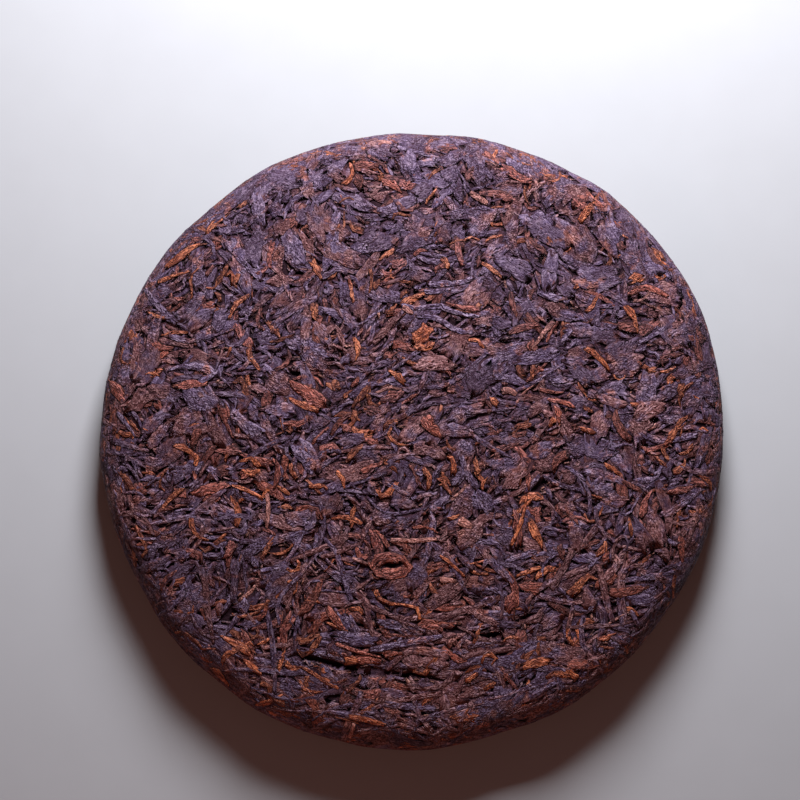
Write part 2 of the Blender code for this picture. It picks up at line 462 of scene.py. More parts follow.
# Leaves that stand out on the face, as (kind, tone, width, places that it runs through), in mm.
MARKED_LEAVES = (
    (
        "russet_leaves",
        0.73,
        3.8,
        ((-12.9, -38.0), (-12.7, -40.4), (-10.1, -41.9), (-6.9, -42.3), (-3.7, -41.9), (-1.1, -40.4), (-0.9, -38.0)),
    ),
    (
        "russet_leaves",
        0.73,
        3.2,
        ((-0.9, -40.2), (-1.1, -37.8), (-3.7, -36.3), (-6.9, -35.9), (-10.1, -36.3), (-12.7, -37.8), (-12.9, -40.2)),
    ),
    ("russet_leaves", 0.73, 1.8, ((-10.9, -39.6), (-9.4, -38.0), (-6.6, -37.5), (-3.8, -38.2))),
    ("russet_leaves", 0.73, 1.8, ((-10.0, -40.2), (-6.8, -40.8), (-3.4, -39.8))),
    ("golden_buds", 0.94, 1.5, ((-11.2, -48.8), (-6.9, -51.0), (-0.4, -51.6), (3.0, -53.4), (2.4, -56.3))),
    ("russet_leaves", 0.94, 2.6, ((-27.0, -52.2), (-24.4, -55.6), (-21.0, -59.5))),
    ("broad_leaves", 0.05, 5.2, ((-24.6, -61.2), (-18.0, -62.0), (-11.2, -63.2))),
    ("twisted_leaves", 0.05, 2.5, ((-13.6, -66.0), (-2.4, -63.6), (9.5, -61.2))),
    ("russet_leaves", 0.73, 1.3, ((-24.3, -63.6), (-18.2, -65.9), (-12.6, -67.2), (-9.4, -68.0))),
    ("russet_leaves", 0.94, 1.6, ((-8.5, -67.8), (-5.6, -66.8), (-2.8, -66.8))),
    ("golden_buds", 0.94, 1.4, ((8.5, -35.8), (12.6, -38.6), (16.6, -42.7))),
    ("stalks", 0.94, 2.0, ((8.7, -43.5), (11.3, -43.6), (14.0, -44.0))),
    ("russet_leaves", 0.94, 1.2, ((0.0, -27.2), (4.8, -26.9), (8.2, -28.9))),
    ("stalks", 0.52, 1.6, ((-7.0, -30.8), (0.6, -31.2), (8.2, -30.7))),
    ("golden_buds", 0.94, 1.4, ((22.0, -69.8), (22.4, -67.8), (24.4, -67.1), (26.6, -68.4), (25.0, -70.2))),
    ("golden_buds", 0.94, 2.0, ((16.8, -75.8), (18.8, -74.6), (20.6, -73.2))),
    ("golden_buds", 0.94, 3.2, ((34.8, -71.2), (39.4, -69.8), (43.8, -69.4))),
    ("golden_buds", 0.94, 2.4, ((-20.5, -87.6), (-14.5, -88.6), (-8.0, -90.6))),
    ("stalks", 0.94, 1.6, ((-18.4, -90.0), (-19.2, -93.2), (-20.4, -96.2))),
    ("golden_buds", 0.94, 2.8, ((-65.0, -73.0), (-62.0, -76.6), (-60.0, -80.0))),
    ("russet_leaves", 0.94, 2.2, ((68.2, 46.0), (72.5, 48.8), (77.5, 48.8), (82.0, 45.8))),
    ("golden_buds", 0.94, 3.0, ((69.0, 51.0), (71.5, 52.0), (74.0, 52.4))),
    ("golden_buds", 0.94, 2.8, ((-79.2, 56.2), (-73.6, 59.8), (-68.2, 63.4))),
    ("golden_buds", 0.94, 1.8, ((-82.0, 51.0), (-76.0, 53.0), (-71.0, 54.0))),
    ("stalks", 0.94, 2.2, ((18.4, 78.9), (21.0, 77.0), (24.0, 75.2))),
    ("golden_buds", 0.94, 5.6, ((0.2, 30.6), (3.0, 33.4), (5.4, 36.8))),
    ("golden_buds", 0.52, 2.4, ((0.4, 30.2), (4.4, 29.6), (7.0, 31.4))),
    ("golden_buds", 0.94, 1.5, ((17.6, 31.9), (20.6, 32.0), (22.8, 29.0))),
    ("golden_buds", 0.94, 2.0, ((54.6, 29.8), (58.6, 26.6), (62.4, 22.4))),
    ("stalks", 0.52, 1.6, ((44.8, 38.0), (41.4, 34.0), (37.6, 28.8))),
    ("golden_buds", 0.52, 1.8, ((54.8, 40.8), (57.0, 43.0), (58.4, 45.6))),
    ("russet_leaves", 0.94, 5.0, ((-38.4, 18.8), (-33.4, 15.6), (-27.2, 11.0))),
    ("golden_buds", 0.94, 2.4, ((-38.8, 13.4), (-34.0, 11.2), (-29.0, 9.6))),
    ("russet_leaves", 0.94, 4.2, ((-98.4, 20.2), (-95.4, 17.2), (-92.4, 12.6))),
    ("golden_buds", 0.94, 2.4, ((-75.4, -1.0), (-71.4, -2.2), (-67.6, -5.4), (-68.4, -8.0))),
    ("golden_buds", 0.94, 1.9, ((-54.4, -6.6), (-51.0, -5.2), (-47.8, -8.0))),
    ("golden_buds", 0.94, 1.7, ((-53.8, -9.0), (-50.6, -10.2), (-47.6, -8.8))),
    ("golden_buds", 0.94, 1.5, ((-57.0, -13.7), (-52.0, -15.4), (-46.8, -18.0))),
    ("stalks", 0.52, 1.6, ((-45.6, -16.2), (-45.2, -22.0), (-45.9, -27.6))),
    ("golden_buds", 0.52, 1.5, ((36.2, -17.0), (34.6, -24.6), (31.0, -33.0))),
    ("golden_buds", 0.52, 2.8, ((36.4, -25.0), (39.0, -29.0), (41.0, -34.2))),
    ("russet_leaves", 0.94, 1.6, ((42.6, 13.2), (47.0, 12.6), (51.4, 10.6))),
    ("russet_leaves", 0.94, 1.8, ((44.6, 11.4), (46.0, 8.4), (46.6, 5.6))),
    ("golden_buds", 0.94, 2.2, ((-7.2, 22.4), (-4.6, 20.6), (-2.2, 18.2))),
    ("golden_buds", 0.52, 1.2, ((-6.4, 4.6), (-7.4, 1.8), (-5.0, -0.6), (-2.0, -1.2))),
    ("russet_leaves", 0.73, 2.4, ((-16.8, -9.6), (-12.8, -8.2), (-8.6, -6.0))),
    ("golden_buds", 0.52, 2.0, ((3.4, -8.4), (5.0, -11.0), (5.2, -14.6))),
    ("golden_buds", 0.52, 2.8, ((-32.0, 57.0), (-30.0, 54.0), (-28.6, 51.0))),
    ("golden_buds", 0.52, 1.8, ((-18.2, 33.0), (-16.8, 29.0), (-17.8, 25.2))),
    ("golden_buds", 0.94, 1.8, ((-23.8, -9.4), (-21.8, -12.0), (-21.2, -15.0))),
    ("golden_buds", 0.52, 1.6, ((-32.4, -14.4), (-28.4, -13.6), (-26.4, -15.2))),
    ("broad_leaves", 0.94, 7.0, ((36.5, -6.5), (32.5, -10.5), (28.5, -14.5))),
    ("stalks", 0.94, 2.4, ((28.0, 15.6), (30.4, 16.0), (33.0, 14.8))),
    ("golden_buds", 0.94, 2.4, ((24.6, 13.4), (26.0, 12.6), (27.0, 11.0))),
    ("stalks", 0.94, 3.0, ((14.6, -24.6), (16.8, -25.8), (19.0, -27.0))),
    ("russet_leaves", 0.94, 4.6, ((3.4, 7.2), (6.0, 4.8), (8.6, 2.6))),
    ("twisted_leaves", 0.05, 2.2, ((5.0, 49.7), (14.7, 49.9), (19.6, 51.9))),
    ("twisted_leaves", 0.05, 1.6, ((3.8, 47.0), (8.0, 47.2), (12.3, 48.0))),
    ("golden_buds", 0.52, 2.4, ((-3.4, 42.8), (0.4, 45.2), (4.2, 46.6))),
    ("twisted_leaves", 0.05, 1.8, ((-3.7, 43.2), (1.6, 41.9), (8.7, 42.7), (14.8, 40.1), (21.6, 39.3))),
    ("stalks", 0.94, 2.0, ((-3.0, 42.4), (-1.4, 41.4), (0.3, 40.0))),
    ("russet_leaves", 0.73, 1.8, ((10.5, 43.8), (15.5, 42.2), (21.8, 41.6))),
    ("twisted_leaves", 0.05, 2.0, ((1.0, 39.4), (7.6, 38.8), (14.0, 35.0), (19.4, 34.4))),
    ("golden_buds", 0.52, 2.2, ((9.3, 57.6), (10.6, 56.4), (11.7, 54.6))),
    ("russet_leaves", 0.94, 1.4, ((0.6, 58.4), (2.4, 60.2), (4.8, 60.2))),
    ("golden_buds", 0.52, 1.5, ((21.8, 56.5), (25.2, 54.4), (28.3, 51.7))),
)
MARKED_WHEN = 0.998
MARKED_SOFT = 0.5  # these leaves lie proud of the rest

# Gaps between the leaves of the face, as (half width, places that it runs through), in mm.
GAPS = (
    (0.6, ((-8.3, -38.9), (-5.6, -39.2))),
    (0.5, ((-36.3, -67.3), (-32.0, -68.4), (-26.0, -69.9))),
    (0.5, ((-2.0, -73.7), (4.0, -74.1), (8.4, -74.8))),
    (0.4, ((-18.2, -74.2), (-21.5, -77.6), (-24.4, -80.2), (-28.6, -83.6))),
    (0.4, ((-17.3, -64.9), (-13.6, -65.3))),
    (0.45, ((10.8, -60.6), (14.0, -59.0), (18.9, -54.9))),
    (0.35, ((22.1, -61.4), (28.0, -60.9), (33.5, -59.8))),
    (0.4, ((32.7, -57.4), (37.2, -54.6), (40.8, -50.9))),
    (0.35, ((-61.4, -57.0), (-54.1, -51.7))),
    (0.35, ((-41.5, 52.6), (-33.0, 53.3))),
    (0.4, ((8.0, 39.4), (14.6, 36.6), (21.8, 32.2))),
    (0.5, ((38.2, -15.6), (41.6, -12.7))),
    (0.55, ((43.6, -31.7), (48.7, -31.7))),
    (0.5, ((62.4, -32.7), (64.6, -32.7))),
    (0.35, ((-39.5, 21.8), (-33.8, 20.2))),
)
GAP_DEPTH = 1.3


def run_through(points, t):
    """Places at shares t of a smooth curve through some points, with the way it goes at each."""
    points = np.array(points, float)
    ends = np.vstack([2 * points[0] - points[1], points, 2 * points[-1] - points[-2]])
    fine = []
    for before, start, end, after in zip(ends, ends[1:], ends[2:], ends[3:]):
        k = np.linspace(0, 1, 16, endpoint=False)[:, None]
        bend_in, bend_out = 2 * before - 5 * start + 4 * end - after, 3 * start - before - 3 * end + after
        fine.append(start + 0.5 * (k * (end - before) + k**2 * bend_in + k**3 * bend_out))
    fine = np.vstack([*fine, points[-1:]])
    reach = np.concatenate([[0], np.cumsum(np.hypot(*np.diff(fine, axis=0).T))])
    u, v = (np.interp(t * reach[-1], reach, line) for line in fine.T)
    way = np.unwrap(np.arctan2(np.gradient(v), np.gradient(u)))
    return (u, v, way), reach[-1]


class Press:
    """Lays the leaves and keeps, for each, its places and heights on its chart."""

    def __init__(self, settings):
        self.settings = settings
        self.rng = np.random.default_rng(settings.seed)
        self.squeeze = settings.squeeze / MM
        tree = solid_tree()
        self.charts = {side: Chart(tree, side) for side in (FACE, BACK)}
        for half_width, places in GAPS:
            self.charts[FACE].open_gap(half_width, places)
        for chart in self.charts.values():
            chart.height = self.core_height(chart)
            chart.core = chart.height.copy()
        self.partners = {side: self.over_the_rim(side) for side in (FACE, BACK)}
        self.units = {
            "broad": UnitLeaf("broad", 6, 0.36, 0.30),
            "strip": UnitLeaf("strip", 8, 0.25, 0.35),
            "curl": UnitLeaf("strip", 7, 0.30, 0.30),
            "slip": UnitLeaf("strip", 6, 0.35, 0.30),
            "shard": UnitLeaf("strip", 4, 0.35, 0.35),
            "crumb": UnitLeaf("strip", 3, 0.40, 0.45),
        }
        self.hats = {}
        self.laid = {kind: [] for kind in HABITS}
        self.count = 0

    def core_height(self, chart):
        """The core's uneven top under the skin. It drops away under the splits."""
        depth = self.settings.core_depth / MM
        rough = self.rng.normal(size=chart.reach.shape)
        coarse, fine = soften(rough, 5), soften(rough, 2)
        relief = 0.28 * coarse / coarse.std() + 0.16 * fine / fine.std()
        return np.clip(relief, -0.6, 0.12) - depth - 1.2 * soften(chart.split, 1, 1)

    def over_the_rim(self, side):
        """For each cell near the rim, the cell of the other chart that lies at the same place."""
        chart = self.charts[side]
        near = np.flatnonzero((chart.reach > 2 * RIM - CHART_REACH + 2) & (chart.reach < CHART_REACH))
        reach = 2 * RIM - chart.reach.ravel()[near]
        angle = -chart.angle.ravel()[near]
        return near, self.charts[-side].cells(reach * np.cos(angle), reach * np.sin(angle))

    def share_the_rim(self):
        """Gives each chart the leaves that the other chart's side has laid past the rim."""
        for side in (FACE, BACK):
            here, there = self.charts[side], self.charts[-side]
            near, other = self.partners[side]
            higher = there.height.ravel()[other] > here.height.ravel()[near]
            here.height.ravel()[near[higher]] = there.height.ravel()[other[higher]]
            here.owner.ravel()[near[higher]] = there.owner.ravel()[other[higher]]

    def squeezed(self, height, soft):
        """The press: heights close on the skin without reaching it, from this depth under it."""
        return np.where(height < -soft, height, -soft * np.exp(-(np.maximum(height, -soft) + soft) / soft))

    def softness(self, chart, u, v):
        """The depth at which the press starts to flatten the leaves. It is more in the looser places."""
        place = Vector((float(u.mean()) / 22, float(v.mean()) / 22, 9 * chart.side))
        loose = 0.5 * noise.noise(place) + LOOSE_BELOW * min(max((-v.mean() - 45) / 25, 0), 1)
        by_rim = min(max((np.hypot(u, v).mean() - RIM + 14) / 10, 0), 1)
        return self.squeeze * (1 + min(max(loose, -0.3), 0.9) + LOOSE_RIM * by_rim)

    def drift(self, u, v, side):
        """The way that the leaves lie round here, as an angle."""
        place = Vector((u / 28, v / 28, 5 * side))
        turn = 3.2 * noise.noise(place) + 1.3 * noise.noise(place * 2.7)
        return turn * (1 - LEVEL_BELOW * min(max((-v - 25) / 40, 0), 1))

    def patch(self, u, v, side):
        """Over 0 where broad leaves show most, and under it where strips do. The face's top is broader."""
        place = Vector((u / 17, v / 17, 13 * side))
        return 1.6 * noise.noise(place) + (v / 130 if side == FACE else 0)

    def pick(self, side, kind, length, width):
        """Compares some places for a leaf and takes the lowest, or none if it would lie over a split."""
        rng, chart = self.rng, self.charts[side]
        tries = max(1, round(self.settings.tries * HABITS[kind]["tries"]))
        reach = (RIM + (2.0 if side == FACE else -1.0)) * np.sqrt(rng.random(tries))
        angle = rng.random(tries) * 2 * math.pi
        u, v = reach * np.cos(angle), reach * np.sin(angle)
        heading = np.array([self.drift(a, b, side) for a, b in zip(u, v)]) + rng.normal(0, 0.42, tries)
        by_rim = (reach > RIM - RIM_BAND) & (rng.random(tries) < 0.7)
        heading = np.where(by_rim, angle + 0.5 * math.pi + rng.normal(0, 0.25, tries), heading)
        heading = np.where(rng.random(tries) < LOOSE_SHARE, rng.random(tries) * math.pi, heading)
        heading += math.pi * (rng.random(tries) < 0.5)
        along, across = np.meshgrid(np.linspace(-0.46, 0.46, 7) * length, np.linspace(-0.42, 0.42, 3) * width)
        along, across = along.ravel()[None], across.ravel()[None]
        turn_x, turn_y = np.cos(heading)[:, None], np.sin(heading)[:, None]
        cells = chart.cells(
            u[:, None] + along * turn_x - across * turn_y, v[:, None] + along * turn_y + across * turn_x
        )
        heights = chart.height.ravel()[cells]
        crossed = (chart.split.ravel()[cells] > 0).mean(axis=1)
        astray = -HABITS[kind]["patch"] * np.array([self.patch(a, b, side) for a, b in zip(u, v)])
        lowest = heights.mean(axis=1) + 0.3 * heights.std(axis=1)
        best = np.argmin(lowest + 6 * crossed + self.patchy * astray)
        if crossed[best] > CROSSED_MOST:
            return None
        return u[best], v[best], heading[best]

    def path(self, u, v, heading, length, bend, t):
        """A curved run of places, one for each of the leaf's rows, with the way it goes at each."""
        wave = 0.35 * bend * math.sin(self.rng.random() * 6.3)
        way = heading + bend * (t - 0.5) + wave * np.sin(2 * math.pi * t + self.rng.random() * 6.3)
        middle = 0.5 * (way[1:] + way[:-1])
        step = length * np.diff(t)
        run_u = np.concatenate([[0], np.cumsum(np.cos(middle) * step)])
        run_v = np.concatenate([[0], np.cumsum(np.sin(middle) * step)])
        return u + run_u - run_u.mean(), v + run_v - run_v.mean(), way

    def lay_one(self, side, kind):
        """Picks a place and lays one leaf of this kind there."""
        rng, sizes = self.rng, getattr(self.settings, kind)
        length, width, thickness = (
            low + (high - low) * rng.random() ** 1.3
            for low, high in ((v[0] / MM, v[1] / MM) for v in (sizes.length, sizes.width, sizes.thickness))
        )
        width = min(width, 0.75 * length)
        picked = self.pick(side, kind, length, width)
        if picked is None:
            return
        u, v, heading = picked
        if side == FACE:
            longer = min(max((-v - 15) / 40, 0), 1)
            length *= 1 + 0.30 * longer
            width *= 1 + 0.15 * longer
        bend = rng.normal(0, 0.5) * HABITS[kind]["bend"]
        unit = self.units[HABITS[kind]["unit"]]
        run_u, run_v, way = self.path(u, v, heading, length, bend, unit.t)
        self.lay(side, kind, unit, (run_u, run_v, way), length, width, thickness)

    def lay_marked(self):
        """Lays the leaves that stand out where they are."""
        for kind, tone, width, points in MARKED_LEAVES:
            unit = self.units[HABITS[kind]["unit"]]
            path, length = run_through(points, unit.t)
            thickness = getattr(self.settings, kind).thickness[1] / MM
            self.lay(FACE, kind, unit, path, length, width, thickness, tone, MARKED_SOFT)

    def lay(self, side, kind, unit, path, length, width, thickness, tone=None, soft=1.0):
        """Lays a leaf along a path: over what is there, and under the press."""
        rng, chart, habit = self.rng, self.charts[side], HABITS[kind]
        run_u, run_v, way = path
        rows, columns = len(unit.t), len(unit.s)
        ragged = 1 + habit["ragged"] * rng.normal(size=(rows, 2))
        ragged *= 1 + rng.normal(0, 0.25) * (2 * unit.t[:, None] - 1)
        ragged = np.clip(ragged, 0.25, 1.7)
        half = 0.5 * width * unit.outline[:, None] * np.where(unit.s[None] < 0, ragged[:, :1], ragged[:, 1:])
        offset = half * unit.s[None]
        torn = 0.8 * habit["ragged"] * width * rng.normal(size=(2, columns))
        torn = np.vstack([torn[:1]] * 2 + [np.zeros((rows - 4, columns))] + [torn[1:]] * 2)
        u = run_u[:, None] - offset * np.sin(way)[:, None] + torn * np.cos(way)[:, None]
        v = run_v[:, None] + offset * np.cos(way)[:, None] + torn * np.sin(way)[:, None]
        under = chart.sample(chart.height, u, v)
        # A stiff leaf lies on the plane through each row, and a limp one follows every dip.
        mean = under.mean(axis=1, keepdims=True)
        slope = (under * unit.s[None]).sum(axis=1, keepdims=True) / (unit.s**2).sum()
        plane = mean + slope * unit.s[None]
        padded = np.vstack([plane[:1], plane, plane[-1:]])
        plane = 0.25 * padded[:-2] + 0.5 * padded[1:-1] + 0.25 * padded[2:]
        bed = habit["stiff"] * plane + (1 - habit["stiff"]) * under
        grooves = self.grooves(unit, habit["groove"])
        rise = thickness * unit.thick[:, None] * unit.profile[None] * grooves
        top = self.squeezed(np.maximum(bed + rise, under + LEAST_STEP), soft * self.softness(chart, u, v))
        bottom = np.minimum(bed, top - 0.5 * thickness * unit.thick[:, None]) - 0.05
        self.fill(chart, u, v, top, length, width)
        height = np.where(unit.under, bottom[unit.row, unit.column], top[unit.row, unit.column])
        self.laid[kind].append(
            dict(
                side=side,
                number=self.count,
                u=u[unit.row, unit.column],
                v=v[unit.row, unit.column],
                height=height,
                half=half[unit.row, unit.column] * unit.s[unit.column],
                along=unit.t[unit.row] * length,
                tone=rng.random() if tone is None else tone,
                unit=unit,
            )
        )
        self.count += 1

    def grooves(self, unit, depth):
        """Ridges that run along a leaf and wind round it, as shares of its thickness."""
        rng = self.rng
        ridges, twist, start = rng.uniform(0.5, 1.1), rng.normal(0, 0.7), rng.random() * 6.3
        wind = 2 * math.pi * (ridges * unit.s[None] + twist * unit.t[:, None]) + start
        lumps = 0.4 * rng.normal(size=(len(unit.t), 1)) + 0.6 * rng.normal(size=wind.shape)
        return np.clip(1 + depth * (np.cos(wind) + lumps), 0.1, 2.2)

    def hat(self, knots, count):
        """Weights that take values at the knots to count even places between the first and the last."""
        key = (len(knots), count)
        if key not in self.hats:
            places = np.linspace(knots[0], knots[-1], count)
            self.hats[key] = np.stack([np.interp(places, knots, row) for row in np.eye(len(knots))], axis=1)
        return self.hats[key]

    def fill(self, chart, u, v, top, length, width):
        """Raises the chart's cells to the top of a leaf that has just been laid."""
        unit_rows = np.arange(u.shape[0])
        unit_columns = np.arange(u.shape[1])
        along = self.hat(unit_rows, 2 * int(length / (0.7 * CELL)) + 3)
        across = self.hat(unit_columns, 2 * int(width / (0.6 * CELL)) + 3)
        dense_u, dense_v, dense_top = (along @ grid @ across.T for grid in (u, v, top))
        cells = chart.cells(dense_u, dense_v).ravel()
        dense_top = dense_top.ravel()
        heights = chart.height.ravel()
        np.maximum.at(heights, cells, dense_top)
        highest = dense_top >= heights[cells] - 1e-6
        chart.owner.ravel()[cells[highest]] = self.count

    def run(self):
        """Lays every leaf, all kinds mixed, in the order of their times."""
        rng = self.rng
        order = []
        for kind, habit in HABITS.items():
            count = getattr(self.settings, kind).count
            for when in rng.uniform(*habit["laid"], count):
                order.append((when, kind, FACE if rng.random() < 0.53 else BACK))
        order.append((MARKED_WHEN, "marked", FACE))
        order.sort()
        for k in range(ROUNDS):
            self.patchy = PATCHY if k >= ROUNDS // 2 else 0
            for _, kind, side in order[k * len(order) // ROUNDS : (k + 1) * len(order) // ROUNDS]:
                if kind == "marked":
                    self.lay_marked()
                else:
                    self.lay_one(side, kind)
            self.share_the_rim()
        seen = sum(np.bincount(chart.owner[chart.owner >= 0], minlength=self.count) for chart in self.charts.values())
        around = {side: soften(chart.height, 3) for side, chart in self.charts.items()}
        for kind, leaves in self.laid.items():
            self.laid[kind] = [leaf for leaf in leaves if seen[leaf["number"]] >= SEEN_LEAST]
            for leaf in self.laid[kind]:
                mean = self.charts[leaf["side"]].sample(around[leaf["side"]], leaf["u"], leaf["v"])
                leaf["proud"] = leaf["height"] - mean


PRESS = {}


# ---------------------------------------------------------------------------------------------------
# Meshes from laid leaves
# ---------------------------------------------------------------------------------------------------


def atlas_grid(count, aspect):
    """Columns and rows of cells, one for each leaf, whose cells are about this much taller than wide."""
    columns = max(1, math.ceil(math.sqrt(count * aspect)))
    return columns, math.ceil(count / columns)


def join_leaves(name, leaves, charts):
    """One mesh of many closed leaves, with a leaf map for their finish and a bake map that gives each leaf a cell of
    its own.
    """
    unit = leaves[0]["unit"]
    count, verts, corners = len(leaves), len(unit.row), len(unit.corners)
    points = np.zeros((count, verts, 3))
    for side, chart in charts.items():
        chosen = [k for k, leaf in enumerate(leaves) if leaf["side"] == side]
        if chosen:
            u, v, height = (np.array([leaves[k][key] for k in chosen]) for key in ("u", "v", "height"))
            points[chosen] = chart.point(u, v, height)
    points[..., 2] = np.maximum(points[..., 2], 0.02)
    mesh = bpy.data.meshes.new(name)
    mesh.vertices.add(count * verts)
    mesh.vertices.foreach_set("co", (points * MM).ravel())
    mesh.loops.add(count * corners)
    each = np.arange(count)[:, None]
    mesh.loops.foreach_set("vertex_index", (unit.corners[None] + each * verts).ravel())
    mesh.polygons.add(count * len(unit.starts))
    mesh.polygons.foreach_set("loop_start", (unit.starts[None] + each * corners).ravel())
    mesh.update(calc_edges=True)
    mesh.shade_smooth()
    add_maps(mesh, unit, leaves)
    obj = bpy.data.objects.new(name, mesh)
    bpy.context.scene.collection.objects.link(obj)
    return obj


def add_maps(mesh, unit, leaves):
    """The leaf map is in mm across and along each leaf. The bake map gives each leaf a cell of its own."""
    count = len(leaves)
    across = np.array([leaf["half"] for leaf in leaves])[:, unit.corners]
    along = np.array([leaf["along"] for leaf in leaves])[:, unit.corners]
    leaf_map = mesh.uv_layers.new(name="leaf")
    leaf_map.data.foreach_set("uv", np.stack([across, along], axis=-1).ravel())
    s = 0.5 + 0.5 * unit.s[unit.column][unit.corners]
    t = unit.t[unit.row][unit.corners]
    cell_u = np.where(unit.low_corner, 0.82 + 0.15 * s, 0.03 + 0.75 * s)
    cell_v = 0.03 + 0.94 * t
    columns, rows = atlas_grid(count, 2.0)
    number = np.arange(count)
    bake_u = (number[:, None] % columns + cell_u[None]) / columns
    bake_v = (number[:, None] // columns + cell_v[None]) / rows
    bake_map = mesh.uv_layers.new(name="OFBake")
    bake_map.data.foreach_set("uv", np.stack([bake_u, bake_v], axis=-1).ravel())
    tone = np.array([leaf["tone"] for leaf in leaves])[:, None] * np.ones(len(unit.row))[None]
    edge = np.broadcast_to(unit.edge[unit.row, unit.column], tone.shape)
    proud = np.array([leaf["proud"] for leaf in leaves])
    for key, values in (("tone", tone), ("rim", edge), ("proud", proud)):
        layer = mesh.attributes.new(key, "FLOAT", "POINT")
        layer.data.foreach_set("value", np.ascontiguousarray(values, np.float32).ravel())


# ---------------------------------------------------------------------------------------------------
# Finishes
# ---------------------------------------------------------------------------------------------------


class Wire:
    """A shader socket that adds Math nodes when it stands in an expression."""

    def __init__(self, finish, socket):
        self.finish = finish
        self.socket = socket

    def maths(self, operation, *values):
        return self.finish.node("ShaderNodeMath", {"operation": operation}, dict(enumerate(values)))

    def __add__(self, other):
        return self.maths("ADD", self, other)

    def __radd__(self, other):
        return self.maths("ADD", other, self)

    def __sub__(self, other):
        return self.maths("SUBTRACT", self, other)

    def __rsub__(self, other):
        return self.maths("SUBTRACT", other, self)

    def __mul__(self, other):
        return self.maths("MULTIPLY", self, other)

    def __rmul__(self, other):
        return self.maths("MULTIPLY", other, self)

    def __truediv__(self, other):
        return self.maths("DIVIDE", self, other)

    def __pow__(self, other):
        return self.maths("POWER", self, other)

    def fraction(self):
        """What is left over a whole number."""
        return self.maths("FRACT", self)

    def held(self):
        """This value, kept between 0 and 1."""
        return self.finish.node("ShaderNodeClamp", {}, {"Value": self})


class Finish:
    """A material whose nodes are added one call at a time."""

    def __init__(self, name):
        self.material = bpy.data.materials.new(name)
        self.material.use_nodes = True
        self.tree = self.material.node_tree
        self.shader = self.tree.nodes["Principled BSDF"]

    def feed(self, socket, value):
        if isinstance(value, Wire):
            self.tree.links.new(value.socket, socket)
        else:
            socket.default_value = value

    def node(self, kind, settings, inputs, output=0):
        """Adds a node: its settings first, then a value or a link for each socket it is given."""
        node = self.tree.nodes.new(kind)
        for name, value in settings.items():
            if name == "stops":
                self.set_stops(node.color_ramp, value)
            else:
                setattr(node, name, value)
        for name, value in inputs.items():
            self.feed(node.inputs[name], value)
        return Wire(self, node.outputs[output])

    def set_stops(self, ramp, stops):
        while len(ramp.elements) < len(stops):
            ramp.elements.new(1.0)
        for element, (place, colour) in zip(ramp.elements, stops):
            element.position = place
            element.color = (*colour, 1.0)

    def set(self, **values):
        """Sets or links the Principled shader's sockets."""
        for name, value in values.items():
            self.feed(self.shader.inputs[name.replace("_", " ")], value)

    def cloud(self, vector, scale, detail=3.0, roughness=0.55):
        """Noise from 0 to 1 on these coordinates."""
        inputs = {"Vector": vector, "Scale": scale, "Detail": detail, "Roughness": roughness}
        return self.node("ShaderNodeTexNoise", {"noise_dimensions": "3D"}, inputs)

    def ridged(self, cloud, steepness):
        """Folds a cloud at its middle value, so that it has sharp valleys there."""
        return self.node("ShaderNodeMath", {"operation": "ABSOLUTE"}, {0: (cloud - 0.5) * steepness})

    def mix(self, share, first, second, blend="MIX"):
        settings = {"data_type": "RGBA", "blend_type": blend}
        return self.node("ShaderNodeMix", settings, {0: share, 6: first, 7: second}, output=2)


def colour4(colour):
    return (*colour, 1.0)


